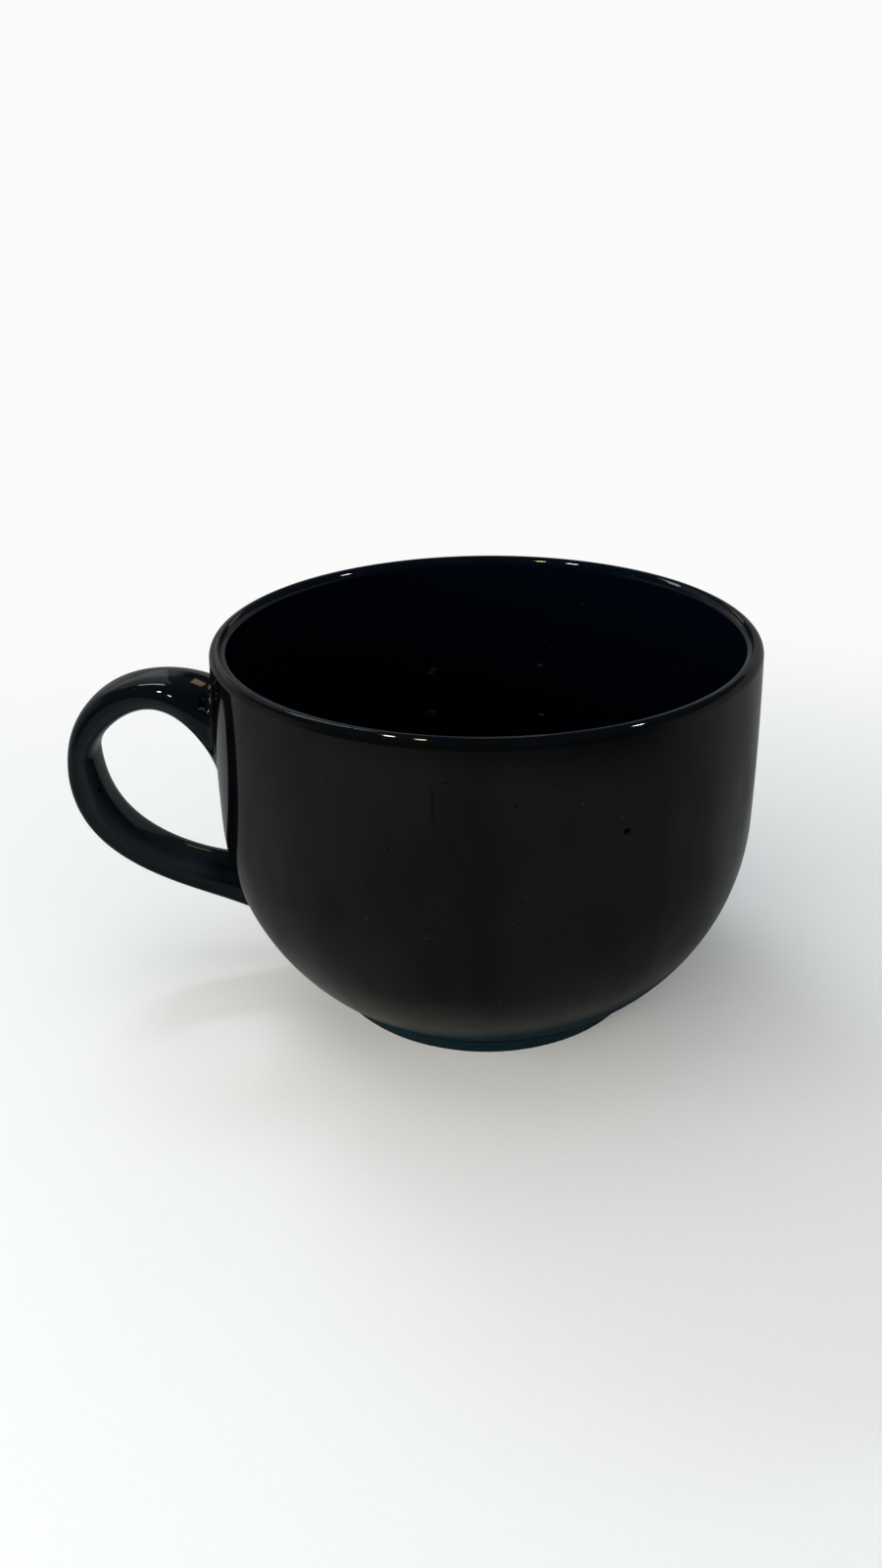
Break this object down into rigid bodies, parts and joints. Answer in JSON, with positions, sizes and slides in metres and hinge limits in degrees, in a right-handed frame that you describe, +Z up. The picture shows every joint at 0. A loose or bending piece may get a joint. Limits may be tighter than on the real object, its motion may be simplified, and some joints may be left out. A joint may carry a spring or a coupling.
{
  "type": "ceramic cup",
  "caption": "Large round glazed ceramic cup with a full belly, a round lip, a tapered foot ring and an ear handle, for drinks or soup.",
  "frame": {"origin": "on the table, under the middle of the whole outline, handle included", "axes": "+Z up out of the bowl's mouth, -X along the handle, Y across it; the bowl's axis stands at x = 18.65 mm"},
  "size_m": [0.1614, 0.124, 0.088],
  "materials": {
    "black_glaze": "high-gloss black glaze on stoneware",
    "foot_glaze": "gloss black glaze, thinner over the turned foot, with a bare face to stand on",
    "fired_slip": "fired slip under black glaze"
  },
  "bodies": {
    "root": {"bowl": "black_glaze", "handle": "black_glaze", "foot_ring": "foot_glaze", "foot_slip": "fired_slip", "upper_handle_slip": "fired_slip", "lower_handle_slip": "fired_slip"}
  },
  "joints": []
}
